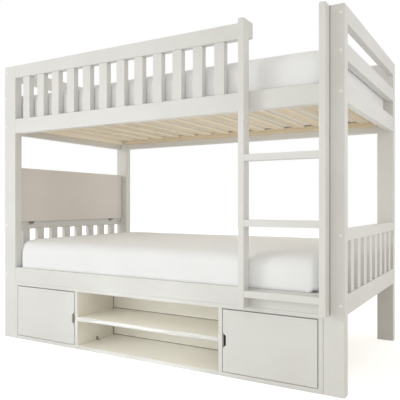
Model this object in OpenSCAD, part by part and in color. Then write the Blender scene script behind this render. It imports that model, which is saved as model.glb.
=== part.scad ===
// Bunk bed with two mattresses, a fixed front ladder, a fold-down headboard flap
// and a storage cabinet with two hinged doors and an open shelf bay under the lower berth.
// Millimetres. +Z is up, +X runs along the bed towards the ladder end, the front faces -Y.

/* [Overall] */
// Outside length over the posts
bed_l = 2090; // [1980:5:2200]
// Outside depth over the posts
bed_d = 1130; // [1000:5:1250]
// Height of the posts, the top rails and the ladder
bed_h = 1652; // [1600:2:1800]

/* [Posts] */
// Post width along the bed
post_w = 93; // [75:1:110]
// Post thickness across the bed
post_d = 50; // [45:1:60]

/* [Long rails] */
// Height of the long side rails
side_rail_h = 87; // [75:1:110]
// Thickness of the long side rails
side_rail_t = 42; // [36:1:45]
// Height of the lower side rails above the floor, which is also the height of the cabinet
low_rail_z = 341; // [300:1:380]
// Height of the upper berth's guard, from the underside of the side rails to the top of the posts
guard_h = 410; // [390:1:460]
// Height of the guard top rails and the upper end rails
top_rail_h = 74; // [60:1:90]

/* [End frames] */
// Thickness of the rails across the two ends
end_rail_t = 34; // [28:1:42]
// Gap between the top rail and the middle rail of each upper end
mid_rail_gap = 84; // [60:1:88]
// Height above the floor of the top rail of each lower end
low_end_z = 655; // [620:1:700]
// Height of the top rail of each lower end
low_end_h = 51; // [40:1:70]
// Number of upright slats in each lower end
end_slat_n = 8; // [5:1:10]
// Thickness of the upright slats in the lower ends
end_slat_t = 26; // [18:1:28]

/* [Guard] */
// Width of every upright slat
slat_w = 53; // [35:1:70]
// Thickness of the upright slats in the two guards
guard_slat_t = 35; // [22:1:36]
// Clear gap between upright slats in the two guards
guard_gap = 66; // [50:1:75]

/* [Ladder] */
// Distance over the outsides of the two ladder stiles
ladder_w = 403; // [350:1:450]
// Width of a stile along the bed
stile_w = 29; // [24:1:40]
// Depth of a stile in front of the bed
stile_d = 58; // [45:1:75]
// Height of a rung
rung_h = 30; // [22:1:36]
// Depth of a rung
rung_d = 54; // [40:1:57]
// Underside of the bottom rung above the floor
rung_1_z = 392; // [385:1:430]
// Underside of the middle rung above the floor
rung_2_z = 711; // [680:1:740]
// Underside of the top rung above the floor
rung_3_z = 1006; // [980:1:1040]

/* [Bed bases] */
// Height of the ledger under the slat ends
ledger_h = 21; // [16:1:36]
// Width of the ledger
ledger_w = 30; // [20:1:36]
// Underside of the ledger above the underside of its rail
ledger_rise = 36; // [10:1:36]
// Width of a bed slat
bed_slat_w = 61; // [50:1:110]
// Thickness of a bed slat
bed_slat_t = 16; // [14:1:24]
// Number of slats under each mattress
bed_slat_n = 14; // [10:1:15]

/* [Mattresses] */
// Free space between the mattress and the rails at each end
mattress_end_gap = 11; // [5:1:40]
// Thickness of a mattress at its edge
mattress_t = 172; // [120:1:190]
// Rise of the crown above the edge at the middle of the top
crown_h = 20; // [4:1:24]
// How far the lower mattress swells out over its side rails
swell = 43; // [0:1:44]
// Free space between a mattress and the posts and guard on each side
mattress_gap = 5; // [2:1:15]

/* [Cabinet] */
// Thickness of the cabinet panels and shelf
panel_t = 20; // [16:1:25]
// Thickness of the cabinet back panel
back_t = 8; // [6:1:12]
// Depth of the cabinet from its front to the back of its back panel
cabinet_d = 321; // [280:1:420]
// Clear width of each bay behind a door
door_bay_w = 465; // [400:1:520]
// Thickness of the cabinet doors
door_t = 18; // [16:1:22]
// Clearance round each cabinet door
door_gap = 3.2; // [2:0.1:4]
// Distance of the door pivot from the hinge edge of the door
pivot_in = 26; // [26:1:40]
// Radius of the door pivot pins
pivot_r = 3; // [2.5:0.5:4]
// Length of the finger notch in the edge of each door
notch_h = 72; // [50:1:100]
// Depth of the finger notch
notch_d = 17; // [12:1:25]
// Length of the slope at each end of the finger notch
notch_slope = 14; // [8:1:18]

/* [Headboard flap] */
// Height of the flap
flap_h = 335; // [250:1:400]
// Thickness of the flap
flap_t = 18; // [16:1:22]
// Gap between each end of the flap and the posts
flap_gap = 5; // [2:0.5:6]
// Distance of each hinge centre from the inner face of the nearest post
flap_hinge_in = 125; // [60:1:250]
// Length of each hinge barrel
hinge_l = 34; // [28:1:80]
// Radius of the hinge barrels
barrel_r = 4.5; // [4:0.5:5]
// Radius of the hinge pins
hinge_pin_r = 2.5; // [2:0.5:3]

/* [Fasteners] */
// Radius of the post bolt shanks
bolt_r = 3; // [2.5:0.5:4]
// Length of a post bolt inside the rail
bolt_in = 60; // [40:1:80]
// Radius of the round bolt caps on the posts
cap_r = 6.5; // [6:0.5:10]
// Height of the bolt caps above the post
cap_h = 1.5; // [1:0.5:3]

/* [Hidden] */
$fn = 48;

paint = "#e9e6df";
pine = "#d9bf94";
cloth = "#f3f2ef";
steel = "#77736c";

// Fits
bolt_clear = 0.2;
pin_clear = 0.05;
soft_clear = 0.3;
lap = 0.01;

// The model is drawn from the outside corner of the front left post, and place() centres it.
mid_y = (bed_d + cap_h - stile_d) / 2;
up_rail_z = bed_h - guard_h;
inner_l = bed_l - 2 * post_w;
inner_d = bed_d - 2 * post_d;
low_slat_top = low_rail_z + ledger_rise + ledger_h + bed_slat_t;
up_slat_top = up_rail_z + ledger_rise + ledger_h + bed_slat_t;
top_rail_z = bed_h - top_rail_h;
mid_rail_z = top_rail_z - mid_rail_gap - top_rail_h;
low_end_top = low_end_z + low_end_h;

// The right stile covers the inner edge of the front right post, and the guard ends at the left stile.
stile_r_x = bed_l - post_w;
stile_l_x = stile_r_x + stile_w - ladder_w;
guard_end_x = stile_l_x + stile_w;
guard_pitch = slat_w + guard_gap;
guard_slat_inset = (side_rail_t - guard_slat_t) / 2;
guard_slat_z = up_rail_z + side_rail_h;
guard_slat_h = top_rail_z - guard_slat_z;
guard_front_n = floor((guard_end_x - post_w - guard_gap) / guard_pitch);
guard_rear_n = floor((inner_l - guard_gap) / guard_pitch);

// Bolt centres in the end rails
bolt_x = end_rail_t / 2;
upper_bolt_z = [top_rail_z + top_rail_h / 2, mid_rail_z + top_rail_h / 2, up_rail_z + side_rail_h / 2];
lower_bolt_z = [low_end_z + low_end_h / 2, low_rail_z + side_rail_h / 2];
bolt_z = concat(upper_bolt_z, lower_bolt_z);
cap_seat = 3;

// Screws that hold the ladder, driven from the back of the rails
screw_r = 2.5;
screw_head_r = 5;
screw_head_h = 3;
screw_in = 35;
stile_z = low_rail_z;

// Bed slats
bed_slat_l = bed_d - 2 * side_rail_t - 2 * bolt_clear;
bed_slat_pitch = inner_l / bed_slat_n;

// Mattress sides: half widths between the posts, between the rails and above the lower rails
mattress_half_l = bed_l / 2 - end_rail_t - mattress_end_gap;
end_half_w = inner_d / 2 - mattress_gap;
side_clear_w = bed_d / 2 - side_rail_t + guard_slat_inset - mattress_gap;
belly_upper = max(0, min(side_clear_w, bed_d / 2 - side_rail_t - soft_clear) - end_half_w);
belly_lower = min(belly_upper + swell, bed_d / 2 - soft_clear - end_half_w);
rail_lip = max(0, side_rail_h - ledger_rise - ledger_h - bed_slat_t);
lip_clear = 0.8;

// Cabinet
cab_x = post_w;
cab_h = low_rail_z;
cab_in_d = cabinet_d - back_t;
bay_z = panel_t;
bay_h = cab_h - 2 * panel_t;
part_l_x = cab_x + panel_t + door_bay_w;
part_r_x = bed_l - part_l_x - panel_t;
mid_bay_w = part_r_x - part_l_x - panel_t;
shelf_z = bay_z + (bay_h - panel_t) / 2;
door_w = door_bay_w - 2 * door_gap;
door_h = bay_h - 2 * door_gap;
door_x = cab_x + panel_t + door_gap;
door_z = bay_z + door_gap;
pivot_x = door_x + pivot_in;
pivot_y = door_t / 2;
pivot_seat = 10;
shelf_pin_r = 2.5;
shelf_pin_l = 8;
shelf_pin_in = 40;
back_gap = 3;

// Headboard flap: its back stands against the inner face of the left end rail
flap_x = end_rail_t + soft_clear;
flap_z = low_end_top - 3;
flap_l = inner_d - 2 * flap_gap;
leaf_t = 2;
hinge_x = flap_x + flap_t * 0.62;
hinge_z = flap_z - leaf_t - barrel_r + 0.5;
leaf_h = 14;
knuckle_gap = 0.3;
hinge_y = [post_d + flap_hinge_in, bed_d - post_d - flap_hinge_in];

module place() {
  translate([-bed_l / 2, -mid_y, 0]) children();
}

// Repeats its child for the right-hand end, as a mirror image
module right_end() {
  translate([bed_l, 0, 0]) mirror([1, 0, 0]) children();
}

// Repeats its child for the rear side, as a mirror image
module rear_side() {
  translate([0, bed_d, 0]) mirror([0, 1, 0]) children();
}

// Bolt hole through a front post and into the end of a rail, along Y
module bolt_hole(z, length) {
  translate([bolt_x, -1, z]) rotate([-90, 0, 0]) cylinder(r = bolt_r + bolt_clear, h = length + 1);
}

module post() {
  difference() {
    cube([post_w, post_d, bed_h]);
    for (z = bolt_z) {
      bolt_hole(z, post_d + 1);
      translate([bolt_x, -1, z]) rotate([-90, 0, 0]) cylinder(r = cap_r, h = cap_seat + 1);
    }
  }
}

// Board between the front and rear posts, drilled at both ends for the post bolts
module end_rail(z, h) {
  difference() {
    translate([0, post_d, z]) cube([end_rail_t, inner_d, h]);
    bolt_hole(z + h / 2, post_d + bolt_in + 2);
    rear_side() bolt_hole(z + h / 2, post_d + bolt_in + 2);
  }
}

module side_rail(z) {
  translate([post_w, 0, z]) cube([inner_l, side_rail_t, side_rail_h]);
}

// Places a child at each screw that holds the ladder to the long rails
module ladder_screw_points() {
  for (z = [low_rail_z + side_rail_h / 2, up_rail_z + side_rail_h / 2])
    translate([stile_l_x + stile_w / 2, side_rail_t, z]) children();
  translate([stile_l_x + stile_w / 2, side_rail_t, top_rail_z + top_rail_h / 2]) children();
  for (z = [low_rail_z + side_rail_h / 2, up_rail_z + side_rail_h / 2, top_rail_z + top_rail_h / 2])
    translate([stile_r_x + stile_w / 2, post_d, z]) children();
}

// Screw with its head seated in a counterbore at the origin, pointing towards -Y
module ladder_screw(clear, seat_len) {
  rotate([90, 0, 0]) {
    translate([0, 0, screw_head_h]) cylinder(r = screw_r + clear, h = seat_len);
    cylinder(r = screw_head_r + clear, h = screw_head_h);
  }
}

module ladder_screw_holes() {
  ladder_screw_points() {
    ladder_screw(bolt_clear, post_d + screw_in);
    rotate([-90, 0, 0]) cylinder(r = screw_head_r + bolt_clear, h = 1);
  }
}

module post_front_left() {
  color(paint) place() post();
}

module post_front_right() {
  color(paint) place() difference() {
    right_end() post();
    ladder_screw_holes();
  }
}

module post_rear_left() {
  color(paint) place() rear_side() post();
}

module post_rear_right() {
  color(paint) place() rear_side() right_end() post();
}

module side_rail_upper_front() {
  color(paint) place() difference() {
    side_rail(up_rail_z);
    ladder_screw_holes();
  }
}

module side_rail_upper_rear() {
  color(paint) place() rear_side() side_rail(up_rail_z);
}

module side_rail_lower_front() {
  color(paint) place() difference() {
    side_rail(low_rail_z);
    ladder_screw_holes();
  }
}

module side_rail_lower_rear() {
  color(paint) place() rear_side() side_rail(low_rail_z);
}

module end_rail_left_top() {
  color(paint) place() end_rail(top_rail_z, top_rail_h);
}

module end_rail_left_middle() {
  color(paint) place() end_rail(mid_rail_z, top_rail_h);
}

module end_rail_left_bed() {
  color(paint) place() end_rail(up_rail_z, side_rail_h);
}

module end_rail_right_top() {
  color(paint) place() right_end() end_rail(top_rail_z, top_rail_h);
}

module end_rail_right_middle() {
  color(paint) place() right_end() end_rail(mid_rail_z, top_rail_h);
}

module end_rail_right_bed() {
  color(paint) place() right_end() end_rail(up_rail_z, side_rail_h);
}

module low_end_rail_left_top() {
  color(paint) place() end_rail(low_end_z, low_end_h);
}

module low_end_rail_left_bed() {
  color(paint) place() end_rail(low_rail_z, side_rail_h);
}

module low_end_rail_right_top() {
  color(paint) place() right_end() end_rail(low_end_z, low_end_h);
}

module low_end_rail_right_bed() {
  color(paint) place() right_end() end_rail(low_rail_z, side_rail_h);
}

// Upright slats between the two rails of a lower end
module low_end_slats() {
  gap = (inner_d - end_slat_n * slat_w) / (end_slat_n + 1);
  z = low_rail_z + side_rail_h;
  for (i = [0:end_slat_n - 1])
    translate([(end_rail_t - end_slat_t) / 2, post_d + gap + i * (slat_w + gap), z])
      cube([end_slat_t, slat_w, low_end_z - z]);
}

module low_end_slats_left() {
  color(paint) place() low_end_slats();
}

module low_end_slats_right() {
  color(paint) place() right_end() low_end_slats();
}

module guard_rail_front() {
  color(paint) place() difference() {
    translate([post_w, 0, top_rail_z]) cube([guard_end_x - post_w, side_rail_t, top_rail_h]);
    ladder_screw_holes();
  }
}

module guard_rail_rear() {
  color(paint) place() rear_side() translate([post_w, 0, top_rail_z]) cube([inner_l, side_rail_t, top_rail_h]);
}

module guard_slat(x) {
  translate([x, guard_slat_inset, guard_slat_z]) cube([slat_w, guard_slat_t, guard_slat_h]);
}

// Slats at an even pitch from the left post, leaving the way in from the ladder open
module guard_slats_front() {
  color(paint) place()
    for (i = [0:guard_front_n - 1])
      guard_slat(post_w + guard_gap + i * guard_pitch);
}

module guard_slats_rear() {
  gap = (inner_l - guard_rear_n * slat_w) / (guard_rear_n + 1);
  color(paint) place() rear_side()
    for (i = [0:guard_rear_n - 1])
      guard_slat(post_w + gap + i * (slat_w + gap));
}

// One stile, housed for the rung ends
tenon = 6;
module ladder_stile(x) {
  difference() {
    translate([x, -stile_d, stile_z]) cube([stile_w, stile_d, bed_h - stile_z]);
    for (z = [rung_1_z, rung_2_z, rung_3_z]) rung(z);
    ladder_screw_holes();
  }
}

module rung(z) {
  translate([stile_l_x + stile_w - tenon, -stile_d + 2, z])
    cube([ladder_w - 2 * stile_w + 2 * tenon, rung_d, rung_h]);
}

module ladder_stile_left() {
  color(paint) place() ladder_stile(stile_l_x);
}

module ladder_stile_right() {
  color(paint) place() ladder_stile(stile_r_x);
}

module rung_bottom() {
  color(paint) place() rung(rung_1_z);
}

module rung_middle() {
  color(paint) place() rung(rung_2_z);
}

module rung_top() {
  color(paint) place() rung(rung_3_z);
}

module ledger(z) {
  translate([post_w, side_rail_t, z + ledger_rise]) cube([inner_l, ledger_w, ledger_h]);
}

module ledger_upper_front() {
  color(pine) place() ledger(up_rail_z);
}

module ledger_upper_rear() {
  color(pine) place() rear_side() ledger(up_rail_z);
}

module ledger_lower_front() {
  color(pine) place() ledger(low_rail_z);
}

module ledger_lower_rear() {
  color(pine) place() rear_side() ledger(low_rail_z);
}

// Ledger across each end, as high as the slats, under the end of the mattress
module end_ledgers(z) {
  translate([end_rail_t, post_d, z + ledger_rise]) cube([ledger_w, inner_d, ledger_h + bed_slat_t]);
}

module end_ledgers_upper() {
  color(pine) place() {
    end_ledgers(up_rail_z);
    right_end() end_ledgers(up_rail_z);
  }
}

module end_ledgers_lower() {
  color(pine) place() {
    end_ledgers(low_rail_z);
    right_end() end_ledgers(low_rail_z);
  }
}

// Cross slats at an even pitch between the posts
module bed_slats(top) {
  for (i = [0:bed_slat_n - 1])
    translate([post_w + (i + 0.5) * bed_slat_pitch - bed_slat_w / 2, side_rail_t + bolt_clear, top - bed_slat_t])
      cube([bed_slat_w, bed_slat_l, bed_slat_t]);
}

module bed_slats_upper() {
  color(pine) place() bed_slats(up_slat_top);
}

module bed_slats_lower() {
  color(pine) place() bed_slats(low_slat_top);
}

// Mattress form: rings of points from the middle of the underside, round the edge, to the crown.
long_n = 10;
short_n = 5;
corner_n = 4;
corner_r = 62;
edge_r = 60;
base_r = 12;

// Share of the full side swell at x, which dies out towards the posts
function belly_share(x) = max(0, 1 - pow(abs(x) / (inner_l / 2 - 12), 60));

// Point i of n along a side of half length c, closer together towards the ends
function along(c, i, n) = c * cos(180 * i / n);

// Outline of a mattress at an inset, with the long sides swelling by belly
function outline(inset, belly) =
  let (a = mattress_half_l - inset, b = end_half_w - inset, r = max(4, corner_r - inset))
  concat(
    [for (i = [0:corner_n - 1]) let (t = 90 * i / corner_n) [a - r + r * cos(t), b - r + r * sin(t)]],
    [for (i = [0:long_n - 1]) let (x = along(a - r, i, long_n)) [x, b + belly * belly_share(x)]],
    [for (i = [0:corner_n - 1]) let (t = 90 + 90 * i / corner_n) [-a + r + r * cos(t), b - r + r * sin(t)]],
    [for (i = [0:short_n - 1]) [-a, (b - r) * (1 - 2 * i / short_n)]],
    [for (i = [0:corner_n - 1]) let (t = 180 + 90 * i / corner_n) [-a + r + r * cos(t), -b + r + r * sin(t)]],
    [for (i = [0:long_n - 1]) let (x = -along(a - r, i, long_n)) [x, -b - belly * belly_share(x)]],
    [for (i = [0:corner_n - 1]) let (t = 270 + 90 * i / corner_n) [a - r + r * cos(t), -b + r + r * sin(t)]],
    [for (i = [0:short_n - 1]) [a, -(b - r) * (1 - 2 * i / short_n)]]
  );

// Side profile: inset, height and share of the swell at each ring.
// The foot stays between the rails, and the sides swell out over the rail tops.
function side_profile(h, foot) = concat(
  [[base_r, 0, 0], [base_r * 0.3, (rail_lip + lip_clear) * 0.3, foot * 0.7], [0, rail_lip + lip_clear, foot]],
  [[0, rail_lip + lip_clear + 0.6, 0.97], [0, rail_lip + 14, 1], [0, h * 0.5, 1]],
  [for (t = [0:22.5:90]) [edge_r * (1 - cos(t)), h - edge_r * (1 - sin(t)), 1 - 0.35 * t / 90]]
);

module mattress(belly) {
  side = side_profile(mattress_t, belly > 0 ? belly_upper / belly : 0);
  n = len(outline(0, 0));
  side_rings = [for (s = side) [for (p = outline(s[0], belly * s[2])) [p[0], p[1], s[1]]]];
  top_ring = side_rings[len(side_rings) - 1];
  top_rings = [for (s = [0.86, 0.66, 0.42, 0.2])
    [for (p = top_ring) [p[0] * s, p[1] * s, mattress_t + crown_h * (1 - s * s)]]];
  base_rings = [for (s = [0.35, 0.75])
    [for (p = side_rings[0]) [p[0] * s, p[1] * s, 0]]];
  rings = concat(base_rings, side_rings, top_rings);
  m = len(rings);
  points = concat([for (r = rings) each r], [[0, 0, 0], [0, 0, mattress_t + crown_h]]);
  walls = [for (j = [0:m - 2], i = [0:n - 1])
    let (k = (i + 1) % n)
    each [[j * n + i, (j + 1) * n + i, (j + 1) * n + k], [j * n + i, (j + 1) * n + k, j * n + k]]];
  floor_fan = [for (i = [0:n - 1]) [m * n, i, (i + 1) % n]];
  crown_fan = [for (i = [0:n - 1]) [m * n + 1, (m - 1) * n + (i + 1) % n, (m - 1) * n + i]];
  translate([bed_l / 2, bed_d / 2, 0]) polyhedron(points, concat(walls, floor_fan, crown_fan));
}

module mattress_upper() {
  color(cloth) place() translate([0, 0, up_slat_top + soft_clear]) mattress(belly_upper);
}

module mattress_lower() {
  color(cloth) place() translate([0, 0, low_slat_top + soft_clear]) mattress(belly_lower);
}

module cabinet_top() {
  color(paint) place() difference() {
    translate([cab_x + panel_t, 0, cab_h - panel_t]) cube([inner_l - 2 * panel_t, cab_in_d, panel_t]);
    pivot_holes();
    right_end() pivot_holes();
  }
}

module cabinet_bottom() {
  color(paint) place() difference() {
    translate([cab_x + panel_t, 0, 0]) cube([inner_l - 2 * panel_t, cab_in_d, panel_t]);
    pivot_holes();
    right_end() pivot_holes();
  }
}

module cabinet_side_left() {
  color(paint) place() translate([cab_x, 0, 0]) cube([panel_t, cab_in_d, cab_h]);
}

module cabinet_side_right() {
  color(paint) place() right_end() translate([cab_x, 0, 0]) cube([panel_t, cab_in_d, cab_h]);
}

// Shelf pin holes in the two partitions, at the underside of the shelf
module shelf_pin_set(clear) {
  for (y = [shelf_pin_in, cab_in_d - shelf_pin_in])
    for (x = [part_l_x + panel_t, part_r_x])
      translate([x - shelf_pin_l, y, shelf_z - shelf_pin_r]) rotate([0, 90, 0])
        cylinder(r = shelf_pin_r + clear, h = 2 * shelf_pin_l);
}

module partition(x) {
  difference() {
    translate([x, 0, bay_z]) cube([panel_t, cab_in_d - back_gap, bay_h]);
    shelf_pin_set(bolt_clear / 2);
  }
}

module partition_left() {
  color(paint) place() partition(part_l_x);
}

module partition_right() {
  color(paint) place() partition(part_r_x);
}

module cabinet_back() {
  color(paint) place() translate([cab_x, cab_in_d, 0]) cube([inner_l, back_t, cab_h]);
}

module cabinet_shelf() {
  color(paint) place() translate([part_l_x + panel_t + soft_clear, 0, shelf_z])
    cube([mid_bay_w - 2 * soft_clear, cab_in_d - back_gap, panel_t]);
}

module shelf_pins() {
  color(steel) place() shelf_pin_set(0);
}

// Holes for the pivot pins of the left door, in the cabinet top and bottom
module pivot_holes() {
  translate([pivot_x, pivot_y, bay_z - pivot_seat]) cylinder(r = pivot_r + pin_clear, h = pivot_seat + 1);
  translate([pivot_x, pivot_y, bay_z + bay_h - 1]) cylinder(r = pivot_r + pin_clear, h = pivot_seat + 1);
}

// Pins in the top and bottom edges of the left door, which turn in the cabinet
module door_pivots() {
  for (z = [bay_z - pivot_seat + 0.5, door_z + door_h - pivot_seat])
    translate([pivot_x, pivot_y, z]) cylinder(r = pivot_r, h = 2 * pivot_seat + door_gap - 0.5);
}

module door() {
  mid_z = door_z + door_h / 2;
  edge_x = door_x + door_w;
  difference() {
    translate([door_x, 0, door_z]) cube([door_w, door_t, door_h]);
    door_pivots();
    translate([0, door_t + 1, 0]) rotate([90, 0, 0]) linear_extrude(height = door_t + 2)
      polygon([
        [edge_x + 1, mid_z - notch_h / 2],
        [edge_x, mid_z - notch_h / 2],
        [edge_x - notch_d, mid_z - notch_h / 2 + notch_slope],
        [edge_x - notch_d, mid_z + notch_h / 2 - notch_slope],
        [edge_x, mid_z + notch_h / 2],
        [edge_x + 1, mid_z + notch_h / 2]
      ]);
  }
}

module door_left() {
  color(paint) place() door();
}

module door_right() {
  color(paint) place() right_end() door();
}

module door_pivots_left() {
  color(steel) place() door_pivots();
}

module door_pivots_right() {
  color(steel) place() right_end() door_pivots();
}

// Catch plate on the partition behind the free edge of each door, at the height of the notch
catch_w = 3;
catch_d = 40;
catch_h = 88;
catch_drop = 52;
module catch_plate() {
  translate([part_l_x - catch_w, door_t + soft_clear, door_z + door_h / 2 - catch_drop])
    cube([catch_w, catch_d, catch_h]);
}

module door_catches() {
  color(steel) place() {
    catch_plate();
    right_end() catch_plate();
  }
}

module headboard_flap() {
  color(paint) place() translate([flap_x, post_d + flap_gap, flap_z]) cube([flap_t, flap_l, flap_h]);
}

// Barrel piece of a hinge, from y0 to y1 along its length
module knuckle(y, y0, y1, bore) {
  translate([hinge_x, y - hinge_l / 2 + y0, hinge_z]) rotate([-90, 0, 0]) difference() {
    cylinder(r = barrel_r, h = y1 - y0);
    translate([0, 0, -1]) cylinder(r = bore, h = y1 - y0 + 2);
  }
}

// Moving leaves: a plate under the flap with the middle barrel piece
module flap_hinge_leaves() {
  third = hinge_l / 3;
  color(steel) place() for (y = hinge_y) {
    knuckle(y, third + knuckle_gap, 2 * third - knuckle_gap, hinge_pin_r + pin_clear);
    difference() {
      translate([flap_x + knuckle_gap, y - third / 2 + knuckle_gap, flap_z - leaf_t])
        cube([flap_t - 2 * knuckle_gap, third - 2 * knuckle_gap, leaf_t]);
      translate([hinge_x, y - third, hinge_z]) rotate([-90, 0, 0])
        cylinder(r = hinge_pin_r + pin_clear, h = 2 * third);
    }
  }
}

// Fixed leaves: a plate on the inner face of the end rail with the two outer barrel pieces
module flap_rail_leaves() {
  third = hinge_l / 3;
  color(steel) place() for (y = hinge_y) {
    translate([end_rail_t, y - hinge_l / 2, hinge_z - leaf_h]) cube([leaf_t, hinge_l, leaf_h - barrel_r - 1]);
    for (s = [0, 2]) {
      knuckle(y, s * third, (s + 1) * third, hinge_pin_r);
      difference() {
        translate([end_rail_t, y - hinge_l / 2 + s * third, hinge_z - barrel_r - 1.5])
          cube([hinge_x - end_rail_t, third, leaf_t + 0.5]);
        translate([hinge_x, y - hinge_l, hinge_z]) rotate([-90, 0, 0])
          cylinder(r = hinge_pin_r, h = 2 * hinge_l);
      }
    }
  }
}

module flap_hinge_pins() {
  color(steel) place() for (y = hinge_y)
    translate([hinge_x, y - hinge_l / 2, hinge_z]) rotate([-90, 0, 0]) cylinder(r = hinge_pin_r, h = hinge_l);
}

// Bolt with a low round cap, from the face of a front post into a rail
module post_bolt(z) {
  translate([bolt_x, 0, z]) rotate([-90, 0, 0]) {
    translate([0, 0, -cap_h]) cylinder(r1 = cap_r - 2, r2 = cap_r, h = cap_h);
    cylinder(r = cap_r, h = cap_seat);
    translate([0, 0, cap_seat - lap]) cylinder(r = bolt_r, h = post_d + bolt_in - cap_seat);
  }
}

module post_bolts() {
  color(paint) place() for (z = bolt_z) {
    post_bolt(z);
    right_end() post_bolt(z);
    rear_side() post_bolt(z);
    rear_side() right_end() post_bolt(z);
  }
}

module ladder_screws() {
  color(steel) place() ladder_screw_points() ladder_screw(0, side_rail_t + screw_in - screw_head_h);
}

// Small angle bracket between the left partition and the cabinet bottom
bracket_y = 165;
bracket_w = 16;
bracket_leg = 18;
bracket_t = 2;
module corner_bracket() {
  color(steel) place() translate([part_l_x + panel_t, bracket_y - bracket_w / 2, bay_z]) {
    cube([bracket_t, bracket_w, bracket_leg]);
    cube([bracket_leg, bracket_w, bracket_t]);
  }
}

post_front_left();
post_front_right();
post_rear_left();
post_rear_right();
side_rail_upper_front();
side_rail_upper_rear();
side_rail_lower_front();
side_rail_lower_rear();
end_rail_left_top();
end_rail_left_middle();
end_rail_left_bed();
end_rail_right_top();
end_rail_right_middle();
end_rail_right_bed();
low_end_rail_left_top();
low_end_rail_left_bed();
low_end_rail_right_top();
low_end_rail_right_bed();
low_end_slats_left();
low_end_slats_right();
guard_rail_front();
guard_rail_rear();
guard_slats_front();
guard_slats_rear();
ladder_stile_left();
ladder_stile_right();
rung_bottom();
rung_middle();
rung_top();
ledger_upper_front();
ledger_upper_rear();
ledger_lower_front();
ledger_lower_rear();
end_ledgers_upper();
end_ledgers_lower();
bed_slats_upper();
bed_slats_lower();
mattress_upper();
mattress_lower();
cabinet_top();
cabinet_bottom();
cabinet_side_left();
cabinet_side_right();
partition_left();
partition_right();
cabinet_back();
cabinet_shelf();
shelf_pins();
door_left();
door_right();
door_pivots_left();
door_pivots_right();
door_catches();
headboard_flap();
flap_hinge_leaves();
flap_rail_leaves();
flap_hinge_pins();
post_bolts();
ladder_screws();
corner_bracket();
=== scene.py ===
import math

import bmesh
import bpy
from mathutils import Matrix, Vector, noise


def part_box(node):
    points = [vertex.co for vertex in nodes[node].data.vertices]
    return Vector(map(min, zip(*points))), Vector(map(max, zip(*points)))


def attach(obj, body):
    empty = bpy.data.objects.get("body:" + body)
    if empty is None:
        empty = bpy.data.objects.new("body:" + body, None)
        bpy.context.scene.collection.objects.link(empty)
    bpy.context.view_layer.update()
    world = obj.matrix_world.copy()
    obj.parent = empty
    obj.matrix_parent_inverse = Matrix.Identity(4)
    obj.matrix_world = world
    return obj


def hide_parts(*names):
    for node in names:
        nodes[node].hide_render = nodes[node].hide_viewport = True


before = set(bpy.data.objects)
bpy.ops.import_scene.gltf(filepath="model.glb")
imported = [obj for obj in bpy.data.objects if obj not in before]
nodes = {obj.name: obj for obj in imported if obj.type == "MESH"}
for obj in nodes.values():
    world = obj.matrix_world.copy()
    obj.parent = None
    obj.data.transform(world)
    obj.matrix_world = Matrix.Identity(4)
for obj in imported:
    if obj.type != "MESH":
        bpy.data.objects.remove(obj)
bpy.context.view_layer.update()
print("frame loaded:", len(nodes), "nodes")


# Small helpers for objects and materials

def addObject(name, data):
    obj = bpy.data.objects.new(name, data)
    bpy.context.scene.collection.objects.link(obj)
    return obj


def setMaterial(obj, mat):
    obj.data.materials.clear()
    obj.data.materials.append(mat)


def newMaterial(name, roughness=0.5, metallic=0.0):
    mat = bpy.data.materials.new(name)
    mat.use_nodes = True
    shader = mat.node_tree.nodes["Principled BSDF"]
    shader.inputs["Roughness"].default_value = roughness
    shader.inputs["Metallic"].default_value = metallic
    return mat, mat.node_tree, shader


def objectCoords(tree):
    # the object coordinates, whole and by axis
    coords = tree.nodes.new("ShaderNodeTexCoord")
    split = tree.nodes.new("ShaderNodeSeparateXYZ")
    tree.links.new(coords.outputs["Object"], split.inputs["Vector"])
    return coords.outputs["Object"], split.outputs


def mapped(tree, vector, scale, offset=(0, 0, 0)):
    mapping = tree.nodes.new("ShaderNodeMapping")
    mapping.inputs["Scale"].default_value = scale
    mapping.inputs["Location"].default_value = offset
    tree.links.new(vector, mapping.inputs["Vector"])
    return mapping.outputs["Vector"]


def stretchedCoords(tree, scale=(1, 1, 1), offset=(0, 0, 0)):
    coords = tree.nodes.new("ShaderNodeTexCoord")
    return mapped(tree, coords.outputs["Object"], scale, offset)


def noiseOn(tree, vector, scale, detail=4.0, rough=0.55):
    tex = tree.nodes.new("ShaderNodeTexNoise")
    tex.inputs["Scale"].default_value = scale
    tex.inputs["Detail"].default_value = detail
    tex.inputs["Roughness"].default_value = rough
    tree.links.new(vector, tex.inputs["Vector"])
    return tex.outputs["Fac"]


def ramp(tree, value, places, colours):
    node = tree.nodes.new("ShaderNodeValToRGB")
    for element, place, colour in zip(node.color_ramp.elements, places, colours):
        element.position = place
        element.color = (*colour, 1)
    tree.links.new(value, node.inputs["Fac"])
    return node.outputs["Color"]


def mapRange(tree, value, low, high):
    node = tree.nodes.new("ShaderNodeMapRange")
    node.inputs["To Min"].default_value = low
    node.inputs["To Max"].default_value = high
    tree.links.new(value, node.inputs["Value"])
    return node.outputs["Result"]


def mathNode(tree, operation, a, b=None):
    node = tree.nodes.new("ShaderNodeMath")
    node.operation = operation
    for socket, value in zip(node.inputs, (a, b)):
        if value is None:
            continue
        if isinstance(value, (int, float)):
            socket.default_value = value
        else:
            tree.links.new(value, socket)
    return node.outputs["Value"]


def weighted(tree, values, shares):
    total = None
    for value, share in zip(values, shares):
        part = mathNode(tree, "MULTIPLY", value, share)
        total = part if total is None else mathNode(tree, "ADD", total, part)
    return total


def mixColours(tree, factor, first, second):
    mix = tree.nodes.new("ShaderNodeMix")
    mix.data_type = "RGBA"
    tree.links.new(factor, mix.inputs["Factor"])
    for socket, colour in ((mix.inputs["A"], first), (mix.inputs["B"], second)):
        if isinstance(colour, tuple):
            socket.default_value = (*colour, 1)
        else:
            tree.links.new(colour, socket)
    return mix.outputs["Result"]


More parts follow.
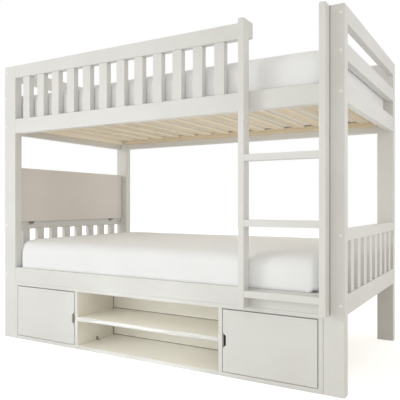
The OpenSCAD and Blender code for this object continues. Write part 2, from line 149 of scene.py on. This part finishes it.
def facing(tree, axis, sign, least=0.6):
    # 1 on faces that point along an axis, 0 on the others
    shape = tree.nodes.new("ShaderNodeNewGeometry")
    split = tree.nodes.new("ShaderNodeSeparateXYZ")
    tree.links.new(shape.outputs["True Normal"], split.inputs["Vector"])
    turned = mathNode(tree, "MULTIPLY", split.outputs[axis], sign)
    return mathNode(tree, "GREATER_THAN", turned, least)


def addBump(tree, shader, heights):
    # each height is a value, a strength and a distance
    normal = None
    for value, strength, distance in heights:
        bump = tree.nodes.new("ShaderNodeBump")
        bump.inputs["Strength"].default_value = strength
        bump.inputs["Distance"].default_value = distance
        tree.links.new(value, bump.inputs["Height"])
        if normal is not None:
            tree.links.new(normal, bump.inputs["Normal"])
        normal = bump.outputs["Normal"]
    tree.links.new(normal, shader.inputs["Normal"])


# Finishes. A noise is its scale, detail and roughness; a bump is its strength and distance

shadowLines = {
    "colour": (0.26, 0.23, 0.18),
    "onBack": 0.004,
    "besideStile": 0.003,
    "besideCabinet": 0.002,
    "doorColour": (0.10, 0.095, 0.09),
    "doorSides": 0.001,
    "doorTop": 0.0015,
    "doorFront": 0.001,
    "doorDepth": 0.0016,
}


def seamLines(tree, places, width, axis="Z"):
    # 1 within a narrow band beyond each place
    split = objectCoords(tree)[1]
    found = None
    for place in places:
        above = mathNode(tree, "GREATER_THAN", split[axis], place)
        below = mathNode(tree, "LESS_THAN", split[axis], place + width)
        band = mathNode(tree, "MULTIPLY", above, below)
        found = band if found is None else mathNode(tree, "MAXIMUM", found, band)
    return found


def backLines(tree, levels, sides):
    # painted shade: 1 on the back panel along the boards that meet it, where shade falls in the corners
    width = shadowLines["onBack"]
    level = seamLines(tree, levels, width)
    return mathNode(tree, "MAXIMUM", level, seamLines(tree, sides, width, "X"))


def postLines(tree, stileEdge, stileFoot, cabinetEdge):
    # painted shade: 1 on the post's front face beside the ladder stile, where the stile's shadow falls, and
    # beside the cabinet below it
    above = mathNode(tree, "GREATER_THAN", objectCoords(tree)[1]["Z"], stileFoot)
    under = mathNode(tree, "SUBTRACT", 1, above)
    byStile = seamLines(tree, [stileEdge], shadowLines["besideStile"], "X")
    byCabinet = seamLines(tree, [cabinetEdge], shadowLines["besideCabinet"], "X")
    both = mathNode(tree, "ADD", mathNode(tree, "MULTIPLY", byStile, above),
                    mathNode(tree, "MULTIPLY", byCabinet, under))
    return mathNode(tree, "MULTIPLY", both, facing(tree, "Y", -1))


def doorLines(tree):
    # painted shade: 1 on a narrow line along the top and the sides of each door, on its front face, darkening
    # it as the shade in the gap round the door does
    boxes = [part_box(door) for door in ("door_left", "door_right")]
    width = shadowLines["doorSides"]
    topWidth = shadowLines["doorTop"]
    places = [low.x for low, high in boxes] + [high.x - width for low, high in boxes]
    front = seamLines(tree, [boxes[0][0].y - shadowLines["doorFront"]], shadowLines["doorDepth"], "Y")
    top = seamLines(tree, [boxes[0][1].z - topWidth], topWidth)
    sides = seamLines(tree, places, width, "X")
    return mathNode(tree, "MULTIPLY", mathNode(tree, "MAXIMUM", top, sides), front)


paint = {
    "light": (0.782, 0.779, 0.764),
    "shade": (0.744, 0.738, 0.721),
    # inside tones, brighter and warmer than the paint: painted bounce light in the bay
    "insideLight": (0.985, 0.96, 0.89),
    "insideShade": (0.96, 0.925, 0.85),
    # a warmer tint on the flap: painted bounce light from the pine slats
    "flapBounceWarmth": (1.03, 0.985, 0.965),
    "places": (0.36, 0.60),
    "stretch": 0.05,
    "shift": (0.31, 0.17, 0.05),
    "cloud": (3.2, 3.0),
    "grain": (230.0, 5.0, 0.62),
    "strokes": (95.0, 2.0),
    "peel": (420.0, 2.0),
    "shares": (0.65, 0.35),  # of the clouds and the grain in the colour
    "roughness": (0.36, 0.50),
    "grainBump": (0.22, 0.0009),
    "strokeBump": (0.12, 0.0012),
    "peelBump": (0.10, 0.0004),
}


def paintMaterial(name, along, tone=(1, 1, 1), inside=False, back=None, post=None, door=False):
    # brush marks and raised grain run along the board; shadow lines are painted where boards meet
    mat, tree, shader = newMaterial(name)
    fine = stretchedCoords(tree, [paint["stretch"] if axis == along else 1 for axis in "xyz"])
    broad = stretchedCoords(tree, offset=paint["shift"])
    cloud = noiseOn(tree, broad, *paint["cloud"])
    grain = noiseOn(tree, fine, *paint["grain"])
    strokes = noiseOn(tree, fine, *paint["strokes"])
    peel = noiseOn(tree, broad, *paint["peel"])
    mixed = weighted(tree, (cloud, grain), paint["shares"])
    toned = [[part * share for part, share in zip(paint[key], tone)] for key in ("shade", "light")]
    colour = ramp(tree, mixed, paint["places"], toned)
    if inside:  # painted bounce light: the inside faces get a brighter, warmer copy of the paint, with the front edges in the outside colour
        bounceLit = ramp(tree, mixed, paint["places"], (paint["insideShade"], paint["insideLight"]))
        if back:  # the back panel is the brighter inside copy all over, with painted shade lines where the boards meet it
            colour = mixColours(tree, backLines(tree, *back), bounceLit, shadowLines["colour"])
        else:
            colour = mixColours(tree, facing(tree, "Y", -1), bounceLit, colour)
    # painted shade beside the ladder stile and the cabinet
    if post:
        colour = mixColours(tree, postLines(tree, *post), colour, shadowLines["colour"])
    # painted shade along the gaps round the doors
    if door:
        colour = mixColours(tree, doorLines(tree), colour, shadowLines["doorColour"])
    tree.links.new(colour, shader.inputs["Base Color"])
    tree.links.new(mapRange(tree, strokes, *paint["roughness"]), shader.inputs["Roughness"])
    addBump(tree, shader, [
        (grain, *paint["grainBump"]), (strokes, *paint["strokeBump"]), (peel, *paint["peelBump"]),
    ])
    return mat


pine = {
    "late": (0.73, 0.59, 0.42),
    "early": (0.86, 0.745, 0.565),
    # paler colour of the side turned to the light: painted light
    "edge": (0.99, 0.905, 0.765),
    "places": (0.18, 0.55),
    "tint": (0.92, 1.048),
    "pitch": 0.136,  # one slat and one gap
    "start": 2.04,
    "sides": 0.9,  # parts the front ledgers from the rear ones
    "stretch": 0.06,
    "rings": {"Scale": 26.0, "Distortion": 7.0, "Detail": 3.0, "Detail Scale": 0.7},
    "fibre": (420.0, 4.0, 0.6),
    "cloud": (14.0, 2.0),
    "shares": (0.45, 0.30, 0.25),  # of the rings, the fibre and the clouds in the colour
    "roughness": (0.52, 0.74),
    "ringBump": (0.10, 0.0008),
    "fibreBump": (0.30, 0.0006),
}


def pineMaterial(name, along, perSlat=False):
    # each slat has its own tone and its own run of grain
    mat, tree, shader = newMaterial(name)
    coords, split = objectCoords(tree)
    if perSlat:
        shifted = mathNode(tree, "ADD", split["X"], pine["start"])
        index = mathNode(tree, "FLOOR", mathNode(tree, "DIVIDE", shifted, pine["pitch"]))
    else:
        index = mathNode(tree, "FLOOR", mathNode(tree, "MULTIPLY", split["Y"], pine["sides"]))
    random = tree.nodes.new("ShaderNodeTexWhiteNoise")
    random.noise_dimensions = "1D"
    tree.links.new(index, random.inputs["W"])
    shift = tree.nodes.new("ShaderNodeVectorMath")
    shift.operation = "ADD"
    tree.links.new(coords, shift.inputs[0])
    tree.links.new(random.outputs["Color"], shift.inputs[1])
    vector = mapped(tree, shift.outputs["Vector"],
                    [pine["stretch"] if axis == along else 1 for axis in "xyz"])
    rings = tree.nodes.new("ShaderNodeTexWave")
    rings.wave_type = "BANDS"
    rings.bands_direction = "X" if along == "y" else "Z"
    for key, value in pine["rings"].items():
        rings.inputs[key].default_value = value
    tree.links.new(vector, rings.inputs["Vector"])
    fibre = noiseOn(tree, vector, *pine["fibre"])
    cloud = noiseOn(tree, vector, *pine["cloud"])
    mixed = weighted(tree, (rings.outputs["Fac"], fibre, cloud), pine["shares"])
    tone = tree.nodes.new("ShaderNodeHueSaturation")
    tree.links.new(ramp(tree, mixed, pine["places"], (pine["late"], pine["early"])), tone.inputs["Color"])
    tree.links.new(mapRange(tree, random.outputs["Value"], *pine["tint"]), tone.inputs["Value"])
    paintedLitSide = facing(tree, "X" if along == "y" else "Y", 1)  # painted light: the one side turned to the light is paler than the faces
    tree.links.new(mixColours(tree, paintedLitSide, tone.outputs["Color"], pine["edge"]), shader.inputs["Base Color"])
    tree.links.new(mapRange(tree, fibre, *pine["roughness"]), shader.inputs["Roughness"])
    addBump(tree, shader, [(rings.outputs["Fac"], *pine["ringBump"]), (fibre, *pine["fibreBump"])])
    return mat


cloth = {
    "gap": (0.90, 0.91, 0.93),
    "thread": (0.945, 0.955, 0.975),
    "places": (0.35, 0.70),
    # darker, warmer underside colour: painted shade
    "under": (0.94, 0.90, 0.82),
    "underLeast": 0.97,
    "threadsPerMetre": 620,
    "weaveTone": (0.25, 0.40),
    "cloud": (5.0, 3.0),
    "cloudShare": 0.5,
    "slub": (900.0, 3.0),
    "roughness": 0.86,
    "sheen": 0.25,
    "sheenRoughness": 0.45,
    "weaveBump": (0.22, 0.0005),
    "slubBump": (0.15, 0.0004),
}


def clothMaterial(name):
    # plain weave: two sets of threads on whichever two directions lie in the surface
    mat, tree, shader = newMaterial(name, cloth["roughness"])
    coords, split = objectCoords(tree)
    turn = math.tau * cloth["threadsPerMetre"] / 2
    x, y, z = (mathNode(tree, "SINE", mathNode(tree, "MULTIPLY", split[axis], turn)) for axis in "XYZ")
    weave = mathNode(tree, "ADD", mathNode(tree, "MULTIPLY", x, y),
                     mathNode(tree, "MULTIPLY", z, mathNode(tree, "ADD", x, y)))
    slub = noiseOn(tree, coords, *cloth["slub"])
    cloud = mathNode(tree, "MULTIPLY", noiseOn(tree, coords, *cloth["cloud"]), cloth["cloudShare"])
    tone = mathNode(tree, "ADD", mapRange(tree, weave, *cloth["weaveTone"]), cloud)
    white = ramp(tree, tone, cloth["places"], (cloth["gap"], cloth["thread"]))
    under = facing(tree, "Z", -1, cloth["underLeast"])  # painted shade: the underside is darker and warmer, as in the shade over the pine slats
    tree.links.new(mixColours(tree, under, white, cloth["under"]), shader.inputs["Base Color"])
    shader.inputs["Sheen Weight"].default_value = cloth["sheen"]
    shader.inputs["Sheen Roughness"].default_value = cloth["sheenRoughness"]
    addBump(tree, shader, [(weave, *cloth["weaveBump"]), (slub, *cloth["slubBump"])])
    return mat


steel = {
    "dull": (0.30, 0.28, 0.255),
    "bright": (0.42, 0.395, 0.36),
    "places": (0.35, 0.65),
    "stain": (60.0, 3.0),
    "stretch": (1, 0.15, 1),
    "brush": (700.0, 3.0),
    "metallic": 0.85,
    "roughness": (0.30, 0.52),
    "bump": (0.15, 0.0003),
}


def steelMaterial(name):
    mat, tree, shader = newMaterial(name, metallic=steel["metallic"])
    brush = noiseOn(tree, stretchedCoords(tree, steel["stretch"]), *steel["brush"])
    stain = noiseOn(tree, stretchedCoords(tree), *steel["stain"])
    colour = ramp(tree, stain, steel["places"], (steel["dull"], steel["bright"]))
    tree.links.new(colour, shader.inputs["Base Color"])
    tree.links.new(mapRange(tree, brush, *steel["roughness"]), shader.inputs["Roughness"])
    addBump(tree, shader, [(brush, *steel["bump"])])
    return mat


caps = {
    "colours": ((0.92, 0.915, 0.90), (0.96, 0.955, 0.94)),
    "places": (0.4, 0.6),
    "specks": (300.0, 2.0),
    "roughness": (0.30, 0.42),
    "bump": (0.08, 0.0003),
}

# near black, so the door catches behind the notches stand in for the shade seen through them: painted shade
shadeFelt = {
    "colours": ((0.035, 0.033, 0.03), (0.06, 0.057, 0.052)),
    "places": (0.4, 0.65),
    "specks": (800.0, 4.0),
    "roughness": (0.86, 0.96),
    "bump": (0.4, 0.0005),
}


def speckledMaterial(name, look):
    mat, tree, shader = newMaterial(name)
    specks = noiseOn(tree, stretchedCoords(tree), *look["specks"])
    tree.links.new(ramp(tree, specks, look["places"], look["colours"]), shader.inputs["Base Color"])
    tree.links.new(mapRange(tree, specks, *look["roughness"]), shader.inputs["Roughness"])
    addBump(tree, shader, [(specks, *look["bump"])])
    return mat


stileLow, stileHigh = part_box("ladder_stile_right")
# edges beside which painted shade lines run on the front right post
postShadeEdges = (stileHigh.x, stileLow.z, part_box("cabinet_side_right")[1].x)
backLevels = [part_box(board)[1].z for board in ("cabinet_bottom", "cabinet_shelf")]
backSides = [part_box("partition_left")[1].x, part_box("partition_right")[0].x - shadowLines["onBack"]]

paintX = paintMaterial("paintAlongBed", "x")
paintY = paintMaterial("paintAcrossBed", "y")
paintZ = paintMaterial("paintUpright", "z")
# the flap is tinted warmer: painted bounce light
paintFlap = paintMaterial("paintOnFlap", "y", tone=paint["flapBounceWarmth"])
paintDoor = paintMaterial("paintOnDoors", "x", door=True)
paintPost = paintMaterial("paintBesideLadder", "z", post=postShadeEdges)
# the inside boards of the cabinet carry painted bounce light
bounceLitX = paintMaterial("bounceLitInsideLong", "x", inside=True)
bounceLitZ = paintMaterial("bounceLitInsideUpright", "z", inside=True)
bounceLitBack = paintMaterial("bounceLitBack", "x", inside=True, back=(backLevels, backSides))
pineSlat = pineMaterial("pineSlat", "y", perSlat=True)
pineLedger = pineMaterial("pineLedger", "x")
pineEndLedger = pineMaterial("pineEndLedger", "y")
clothWhite = clothMaterial("mattressCover")
steelDark = steelMaterial("steelFittings")
capWhite = speckledMaterial("capWhite", caps)
shadeFeltBlack = speckledMaterial("shadeFeltBlack", shadeFelt)
print("materials made")


# Boards: a finish and the radius of the edges in mm, by the start of the node's name

boards = {
    "post": (paintZ, 2.5),
    "post_front_right": (paintPost, 2.5),
    "side_rail": (paintX, 2.5),
    "end_rail": (paintY, 2.5),
    "low_end_rail": (paintY, 2.5),
    "low_end_slats": (paintZ, 3.0),
    "guard_rail": (paintX, 2.5),
    "guard_slats": (paintZ, 3.0),
    "ladder_stile": (paintZ, 3.0),
    "rung": (paintX, 4.0),
    "ledger": (pineLedger, 1.5),
    "end_ledgers": (pineEndLedger, 1.5),
    "bed_slats": (pineSlat, 2.0),
    "cabinet_top": (bounceLitX, 1.0),
    "cabinet_bottom": (bounceLitX, 1.0),
    "cabinet_side": (bounceLitZ, 1.0),
    "partition": (bounceLitZ, 1.0),
    "cabinet_back": (bounceLitBack, 0.5),
    "cabinet_shelf": (bounceLitX, 1.2),
    "door_left": (paintDoor, 0.8),
    "door_right": (paintDoor, 0.8),
    "headboard_flap": (paintFlap, 2.0),
    "post_bolts": (capWhite, 0),
    "shelf_pins": (steelDark, 0),
    # near-black catches: painted shade behind the door notches
    "door_catches": (shadeFeltBlack, 0.4),
    "door_pivots": (steelDark, 0),
    "flap_hinge": (steelDark, 0),
    "flap_rail_leaves": (steelDark, 0),
    "ladder_screws": (steelDark, 0),
    "corner_bracket": (steelDark, 0.4),
}

# Boards with holes, by the body they ride on: an edge modifier folds the faces round a hole

bored = {
    "frame": [
        "post_front_left", "post_front_right", "post_rear_left", "post_rear_right",
        "end_rail_left_bed", "end_rail_left_middle", "end_rail_left_top",
        "end_rail_right_bed", "end_rail_right_middle", "end_rail_right_top",
        "low_end_rail_left_bed", "low_end_rail_left_top", "low_end_rail_right_bed", "low_end_rail_right_top",
        "side_rail_lower_front", "side_rail_upper_front", "guard_rail_front",
        "ladder_stile_left", "ladder_stile_right",
        "cabinet_bottom", "cabinet_top", "partition_left", "partition_right",
    ],
    "left_door": ["door_left"],
    "right_door": ["door_right"],
}
boredNames = sum(bored.values(), [])

rounding = {
    "merge": 0.00001,
    "segments": 3,
    "leastAngle": 50,
    "onBox": 0.00005,
}


def roundEdges(obj, radius):
    weld = obj.modifiers.new("weld", "WELD")
    weld.merge_threshold = rounding["merge"]
    bevel = obj.modifiers.new("roundEdge", "BEVEL")
    bevel.width = radius / 1000
    bevel.segments = rounding["segments"]
    bevel.limit_method = "ANGLE"
    bevel.angle_limit = math.radians(rounding["leastAngle"])
    bevel.use_clamp_overlap = False


def boardStyle(name):
    # the longest start that fits counts
    for key in sorted(boards, key=len, reverse=True):
        if name.startswith(key):
            return boards[key]
    return None


for name, obj in nodes.items():
    style = boardStyle(name)
    if style:
        mat, radius = style
        setMaterial(obj, mat)
        if radius and name not in boredNames:
            roundEdges(obj, radius)
    elif not name.startswith("mattress"):
        print("no finish for", name)
print("boards finished")


# Boards with holes: the outer edges are rounded on a merged copy

def bevelEdges(bm, edges, radius, segments):
    bmesh.ops.bevel(bm, geom=edges, offset=radius, offset_type="OFFSET", segments=segments,
                    profile=0.5, affect="EDGES", clamp_overlap=True, material=-1)


def meshCopy(nodeName, pieceName):
    data = nodes[nodeName].data.copy()
    data.name = pieceName
    bm = bmesh.new()
    bm.from_mesh(data)
    bmesh.ops.remove_doubles(bm, verts=bm.verts, dist=rounding["merge"])
    bmesh.ops.recalc_face_normals(bm, faces=bm.faces)
    bm.to_mesh(data)
    bm.free()
    return addObject(pieceName, data)


def onBoxEdge(edge, low, high):
    shared = 0
    for axis in range(3):
        for limit in (low[axis], high[axis]):
            if all(abs(v.co[axis] - limit) < rounding["onBox"] for v in edge.verts):
                shared += 1
    return shared >= 2


def makeBored(nodeName, body):
    low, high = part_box(nodeName)
    mat, radius = boardStyle(nodeName)
    obj = meshCopy(nodeName, nodeName.replace("_", ".", 1))
    bm = bmesh.new()
    bm.from_mesh(obj.data)
    bevelEdges(bm, [edge for edge in bm.edges if onBoxEdge(edge, low, high)],
               radius / 1000, rounding["segments"])
    bm.to_mesh(obj.data)
    bm.free()
    obj.data.polygons.foreach_set("use_smooth", [False] * len(obj.data.polygons))
    setMaterial(obj, mat)
    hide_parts(nodeName)
    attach(obj, body)


for body, names in bored.items():
    for name in names:
        makeBored(name, body)
print("bored boards rounded")


# Spacer blocks on the ledgers, between the bed slats

spacers = {"height": 0.012, "depth": 0.020, "clear": 0.001, "radius": 0.001, "segments": 2}


def slatGaps(nodeName):
    # the gaps along the bed between neighbouring slats, from the slats' own corners
    edges = sorted({round(v.co.x, 4) for v in nodes[nodeName].data.vertices})
    return [(edges[i], edges[i + 1]) for i in range(1, len(edges) - 1, 2)]


def makeSpacers(berth):
    bm = bmesh.new()
    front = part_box("ledger_" + berth + "_front")
    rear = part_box("ledger_" + berth + "_rear")
    size = Vector((0, spacers["depth"], spacers["height"]))
    for start, end in slatGaps("bed_slats_" + berth):
        for y in (front[1].y - size.y / 2, rear[0].y + size.y / 2):
            size.x = end - start - 2 * spacers["clear"]
            made = bmesh.ops.create_cube(bm, size=1)["verts"]
            bmesh.ops.scale(bm, verts=made, vec=size)
            middle = Vector(((start + end) / 2, y, front[1].z + size.z / 2))
            bmesh.ops.translate(bm, verts=made, vec=middle)
    bevelEdges(bm, bm.edges[:], spacers["radius"], spacers["segments"])
    data = bpy.data.meshes.new(berth + "SlatSpacers")
    bm.to_mesh(data)
    bm.free()
    obj = addObject(berth + "SlatSpacers", data)
    setMaterial(obj, pineLedger)
    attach(obj, "frame")


makeSpacers("upper")
makeSpacers("lower")
print("slat spacers made")


# Mattresses: a foam core in a plain white cover, blown up a little by simulated pressure

mattress = {
    "shrink": 0.005,
    "voxel": 0.010,
    "quickVoxel": 0.020,
    "pressure": 4.0,
    "frames": 20,
    "quality": 5,
    "stiffness": 12,
    "bending": 1.5,
    "cap": 0.010,
    "smoothing": 3,
    "fuller": {"upper": (0.019, True), "lower": (0.006, False)},
    "leanMiddle": 0.5,
    "leanSlope": 0.62,
    "endPower": 12,
    "risePower": 1.5,
    "undulation": 0.0022,
    "topWaves": (4.5, 5.5),
    "sideWaves": (6, 12, 3.1),
    "sideShare": 1.4,
    "pleat": 0.0012,
    "pleatReach": 0.16,
    "pleats": 26,
    "pleatStart": 0.02,
    "pleatWaves": (9, 9, 7),
}


def bakeModifiers(obj):
    bpy.context.view_layer.update()
    graph = bpy.context.evaluated_depsgraph_get()
    baked = bpy.data.meshes.new_from_object(obj.evaluated_get(graph), depsgraph=graph)
    obj.modifiers.clear()
    obj.data = baked


def voxelRemesh(obj, size):
    remesh = obj.modifiers.new("remesh", "REMESH")
    remesh.mode = "VOXEL"
    remesh.voxel_size = size
    bakeModifiers(obj)


def shrinkForm(obj, low, high):
    middle = (low + high) / 2
    size = high - low
    for vertex in obj.data.vertices:
        for axis in range(3):
            shrunk = (vertex.co[axis] - middle[axis]) * (1 - 2 * mattress["shrink"] / size[axis])
            vertex.co[axis] = middle[axis] + shrunk


def puffUp(obj):
    scene = bpy.context.scene
    start = [v.co.copy() for v in obj.data.vertices]
    sim = obj.modifiers.new("puff", "CLOTH")
    settings = sim.settings
    settings.quality = mattress["quality"]
    settings.use_pressure = True
    settings.uniform_pressure_force = mattress["pressure"]
    settings.effector_weights.gravity = 0
    settings.tension_stiffness = mattress["stiffness"]
    settings.compression_stiffness = mattress["stiffness"]
    settings.bending_stiffness = mattress["bending"]
    sim.point_cache.frame_start = 1
    sim.point_cache.frame_end = mattress["frames"]
    for step in range(1, mattress["frames"] + 1):
        scene.frame_set(step)
    graph = bpy.context.evaluated_depsgraph_get()
    ended = [v.co.copy() for v in obj.evaluated_get(graph).data.vertices]
    obj.modifiers.clear()
    scene.frame_set(1)
    for vertex, before, after in zip(obj.data.vertices, start, ended):
        move = after - before
        if move.length > mattress["cap"]:
            move.length = mattress["cap"]
        vertex.co = before + move


def smoothCover(obj, steps):
    bm = bmesh.new()
    bm.from_mesh(obj.data)
    for step in range(steps):
        bmesh.ops.smooth_vert(bm, verts=bm.verts, factor=0.5, use_axis_x=True, use_axis_y=True, use_axis_z=True)
    bm.to_mesh(obj.data)
    bm.free()


def fillForm(obj, nodeName):
    # no point of the cover lies inside the form it stands for
    fill = obj.modifiers.new("fill", "SHRINKWRAP")
    fill.target = nodes[nodeName]
    fill.wrap_method = "NEAREST_SURFACEPOINT"
    fill.wrap_mode = "OUTSIDE"
    bakeModifiers(obj)


def makeFuller(obj, low, high, most, lean):
    # the top stands a little prouder than the form, more so towards the ladder end where it leans
    middle = (low + high) / 2
    for vertex in obj.data.vertices:
        co = vertex.co
        rise = (co.z - low.z) / (high.z - low.z)
        along = (co.x - middle.x) / (high.x - middle.x)
        share = min(max(mattress["leanMiddle"] + mattress["leanSlope"] * along, 0.0), 1.0) if lean else 1.0
        ends = max(0.0, 1 - abs(along) ** mattress["endPower"])
        co.z += most * share * ends * max(0.0, rise) ** mattress["risePower"]


def layCover(obj, low, high):
    # the cover lies a little uneven, and gathers in short pleats round the corners
    middle = (low + high) / 2
    topX, topY = mattress["topWaves"]
    sideX, sideZ, sideShift = mattress["sideWaves"]
    for vertex in obj.data.vertices:
        co = vertex.co
        rise = (co.z - low.z) / (high.z - low.z)
        side = 1 if co.y > middle.y else -1
        co.z += mattress["undulation"] * noise.noise(Vector((co.x * topX, co.y * topY, low.z))) * rise
        wave = noise.noise(Vector((co.x * sideX, co.z * sideZ, sideShift)))
        co.y += side * mattress["undulation"] * mattress["sideShare"] * wave
        corner = Vector((high.x - abs(co.x - middle.x) - middle.x, high.y - abs(co.y - middle.y) - middle.y, 0))
        near = max(0.0, 1 - corner.length / mattress["pleatReach"])
        if near:
            turn = math.atan2(corner.y + mattress["pleatStart"], corner.x + mattress["pleatStart"])
            wander = noise.noise(co * Vector(mattress["pleatWaves"]))
            fold = math.sin(turn * mattress["pleats"] + 2 * wander)
            outward = Vector((co.x - middle.x, co.y - middle.y, 0)).normalized()
            co += outward * fold * near * near * mattress["pleat"]


swell = {
    "clear": 0.0005,
    "stray": 0.004,
    "seat": 0.016,  # height over the rail in which the side draws in to sit on it
    "overRail": 0.004,
    "underTop": 0.006,
    "nearPost": 0.88,
    "postClear": 0.012,
    "sideClear": 0.010,
    "sidePower": 60,
    "fullPower": 140,
    "formStart": 0.060,
    "formReach": 0.046,
    "formMost": 0.957,
    "formDrop": 0.837,
    "formLeast": 0.12,
}


def keepClear(obj, low, high, berth):
    # between the posts, between the rails, and above the rail tops where the side swells over them
    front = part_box("side_rail_" + berth + "_front")
    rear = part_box("side_rail_" + berth + "_rear")
    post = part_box("post_front_left")
    middle = (low + high) / 2
    gap = swell["clear"]
    railHalf = (rear[0].y - front[1].y) / 2 - gap
    railTop = front[1].z + gap
    postHalf = (rear[1].y - front[0].y) / 2 - (post[1].y - post[0].y) - 2 * gap
    bayHalf = (front[1].x - front[0].x) / 2 - gap
    fullHalf = (high.y - low.y) / 2

    def formShare(away):
        # how much of the swell over the rail the form has left near a post
        past = (away - bayHalf + swell["formStart"]) / swell["formReach"]
        return min(1.0, max(swell["formLeast"], swell["formMost"] - swell["formDrop"] * past))

    def fullShare(away):
        return max(0.0, 1 - (away / (bayHalf - swell["postClear"])) ** swell["fullPower"])

    def sideHalf(away):
        share = max(0.0, 1 - (away / (bayHalf - swell["sideClear"])) ** swell["sidePower"])
        return postHalf + (fullHalf - postHalf) * share

    for vertex in obj.data.vertices:
        co = vertex.co
        co.x = min(max(co.x, low.x - swell["stray"]), high.x + swell["stray"])
        co.z = min(max(co.z, low.z), high.z + swell["stray"])
        side = 1 if co.y > middle.y else -1
        away = abs(co.x - middle.x)
        half = abs(co.y - middle.y)
        if co.x > middle.x and half > postHalf and away > swell["nearPost"]:
            half = postHalf + (half - postHalf) * max(1.0, fullShare(away) / formShare(away))
        half = min(half, fullHalf)
        if away > bayHalf - swell["postClear"]:
            half = min(half, postHalf)
        overRail = railTop - swell["underTop"] < co.z < railTop + swell["seat"]
        if half > railHalf + swell["overRail"] and overRail:
            near = 1 - max(0.0, co.z - railTop) / swell["seat"]
            half += (max(half, sideHalf(away)) - half) * near
        if half > railHalf and co.z < railTop:
            if railTop - co.z < half - railHalf:
                co.z = railTop
            else:
                half = railHalf
        co.y = middle.y + side * half


def makeMattress(berth, pieceName):
    nodeName = "mattress_" + berth
    low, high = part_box(nodeName)
    obj = meshCopy(nodeName, pieceName)
    shrinkForm(obj, low, high)
    voxelRemesh(obj, mattress["voxel"])
    puffUp(obj)
    smoothCover(obj, mattress["smoothing"])
    fillForm(obj, nodeName)
    makeFuller(obj, low, high, *mattress["fuller"][berth])
    layCover(obj, low, high)
    keepClear(obj, low, high, berth)
    obj.data.polygons.foreach_set("use_smooth", [True] * len(obj.data.polygons))
    setMaterial(obj, clothWhite)
    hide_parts(nodeName)
    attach(obj, "frame")
    top = max(v.co.z for v in obj.data.vertices)
    print(berth, "mattress points", len(obj.data.vertices), "top", round(top, 4), "form top", round(high.z, 4))


makeMattress("upper", "upperMattress")
makeMattress("lower", "lowerMattress")
print("mattresses made")


# Floor, light and camera

studio = {
    "ambient": 0.765,
    "warmth": (1.0, 0.962, 0.892),
    "floorSize": 14,
    "floorColour": (0.86, 0.86, 0.85, 1),
    "floorRoughness": 0.9,
    "floorWhite": 0.54,
    "lampColour": (0.92, 0.975, 1.0),
    "underColour": (0.83, 0.94, 1.0),
}


def seenDirectly(tree):
    # 1 for rays from the camera, in a reflection or through glass
    path = tree.nodes.new("ShaderNodeLightPath")
    seen = path.outputs["Is Camera Ray"]
    for kind in ("Is Glossy Ray", "Is Transmission Ray"):
        seen = mathNode(tree, "MAXIMUM", seen, path.outputs[kind])
    return seen


def addFloor():
    bm = bmesh.new()
    bmesh.ops.create_grid(bm, x_segments=1, y_segments=1, size=studio["floorSize"])
    data = bpy.data.meshes.new("floor")
    bm.to_mesh(data)
    bm.free()
    obj = addObject("floor", data)
    mat, tree, shader = newMaterial("floorPale", studio["floorRoughness"])
    shader.inputs["Base Color"].default_value = studio["floorColour"]
    shader.inputs["Emission Color"].default_value = (1, 1, 1, 1)
    glow = mathNode(tree, "MULTIPLY", seenDirectly(tree), studio["floorWhite"])
    tree.links.new(glow, shader.inputs["Emission Strength"])
    setMaterial(obj, mat)


def addWorld():
    world = bpy.data.worlds.new("studioWorld")
    bpy.context.scene.world = world
    world.use_nodes = True
    tree = world.node_tree
    back = tree.nodes["Background"]
    seen = seenDirectly(tree)
    tree.links.new(mapRange(tree, seen, studio["ambient"], 1.0), back.inputs["Strength"])
    tree.links.new(ramp(tree, seen, (0.0, 1.0), (studio["warmth"], (1, 1, 1))), back.inputs["Color"])


lamps = {
    "keyLamp": {
        "place": (-2.7, -3.4, 1.6), "target": (0.1, -0.5, 1.0), "size": (1.2, 1.2), "power": 23.0,
    },
    "underLamp": {
        "place": (-1.0, -2.9, 0.25), "target": (0, 0, 0.5), "size": (2.4, 0.4), "power": 6.5,
        "colour": studio["underColour"],
    },
    "bayLamp": {
        "place": (-0.1, -3.1, 1.3), "target": (-0.03, -0.4, 0.05), "size": (0.7, 0.2), "power": 0.24,
        "spread": 12,
    },
    "sideLamp": {
        "place": (3.6, -0.9, 0.75), "target": (0.2, 0.1, 1.32), "size": (0.9, 0.5), "power": 0.8,
        "spread": 40,
    },
    "slantLamp": {
        "place": (-2.7, -3.0, 1.1), "target": (1.0, -0.55, 0.8), "size": (0.9, 0.6), "power": 0.9,
        "spread": 34,
    },
    "rearLamp": {
        "place": (0.2, 2.6, 2.1), "target": (0.2, 0.05, 0.6), "size": (1.0, 0.4), "power": 0.62,
        "spread": 32,
    },
}


def addLamp(name, place, target, size, power, spread=180, colour=studio["lampColour"]):
    data = bpy.data.lights.new(name, "AREA")
    data.shape = "RECTANGLE"
    data.size, data.size_y = size
    data.energy = power
    data.spread = math.radians(spread)
    data.color = colour
    obj = addObject(name, data)
    obj.location = place
    obj.rotation_euler = (Vector(target) - Vector(place)).to_track_quat("-Z", "Y").to_euler()


camera = {
    "place": (1.63087, -2.73842, 0.8107),
    "turn": 0.528,
    "focal": 527.524,  # pixels, in a picture this many pixels wide
    "picture": 400,
    "sensor": 36,
    "rise": 0.0108,
    "farthest": 60,
}


def addCamera():
    data = bpy.data.cameras.new("camera")
    data.sensor_width = camera["sensor"]
    data.sensor_fit = "HORIZONTAL"
    data.lens = camera["sensor"] * camera["focal"] / camera["picture"]
    data.shift_y = camera["rise"]
    data.clip_end = camera["farthest"]
    obj = addObject("camera", data)
    obj.location = camera["place"]
    obj.rotation_euler = (math.radians(90), 0, camera["turn"])
    bpy.context.scene.camera = obj


addFloor()
addWorld()
for name, lamp in lamps.items():
    addLamp(name, **lamp)
addCamera()
bpy.context.scene.view_settings.view_transform = "Standard"
print("studio set")
